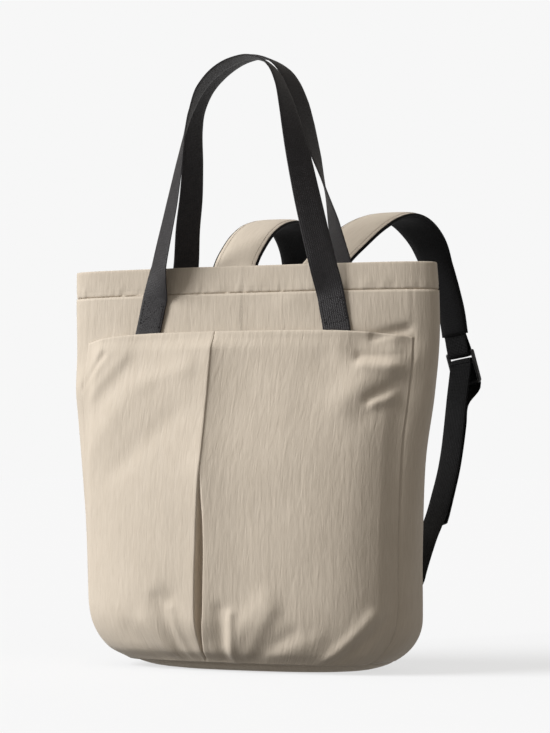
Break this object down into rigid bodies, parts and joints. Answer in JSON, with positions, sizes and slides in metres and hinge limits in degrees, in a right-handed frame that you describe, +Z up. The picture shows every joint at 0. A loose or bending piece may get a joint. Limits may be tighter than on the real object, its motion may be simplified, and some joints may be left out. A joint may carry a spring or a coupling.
{
  "type": "convertible tote backpack",
  "caption": "Soft cloth tote backpack standing open at the mouth, with webbing tote handles, a pleated front layer and padded shoulder straps.",
  "frame": {"origin": "middle of the base, on the floor that the bag stands on", "axes": "+Z up, -Y out of the pleated front, +Y out of the back panel with the shoulder straps, +X to the right of someone who looks at the front"},
  "size_m": [0.3536, 0.341, 0.5671],
  "materials": {
    "tan_cloth": "matte crinkled nylon",
    "black_webbing": "woven webbing with a slight sheen",
    "black_mesh": "matte spacer mesh",
    "black_plastic": "moulded satin plastic"
  },
  "bodies": {
    "root": {"body_front": "tan_cloth", "body_side_right": "tan_cloth", "body_back": "tan_cloth", "body_side_left": "tan_cloth", "base_panel": "tan_cloth", "top_band": "tan_cloth", "front_pocket": "tan_cloth", "handle_front": "black_webbing", "handle_rear": "black_webbing", "strap_cover_right": "tan_cloth", "strap_cover_left": "tan_cloth", "strap_mesh_right": "black_mesh", "strap_mesh_left": "black_mesh", "strap_loop_right": "black_webbing", "strap_loop_left": "black_webbing", "buckle_right": "black_plastic", "buckle_left": "black_plastic", "strap_webbing_right": "black_webbing", "strap_webbing_left": "black_webbing"}
  },
  "joints": []
}
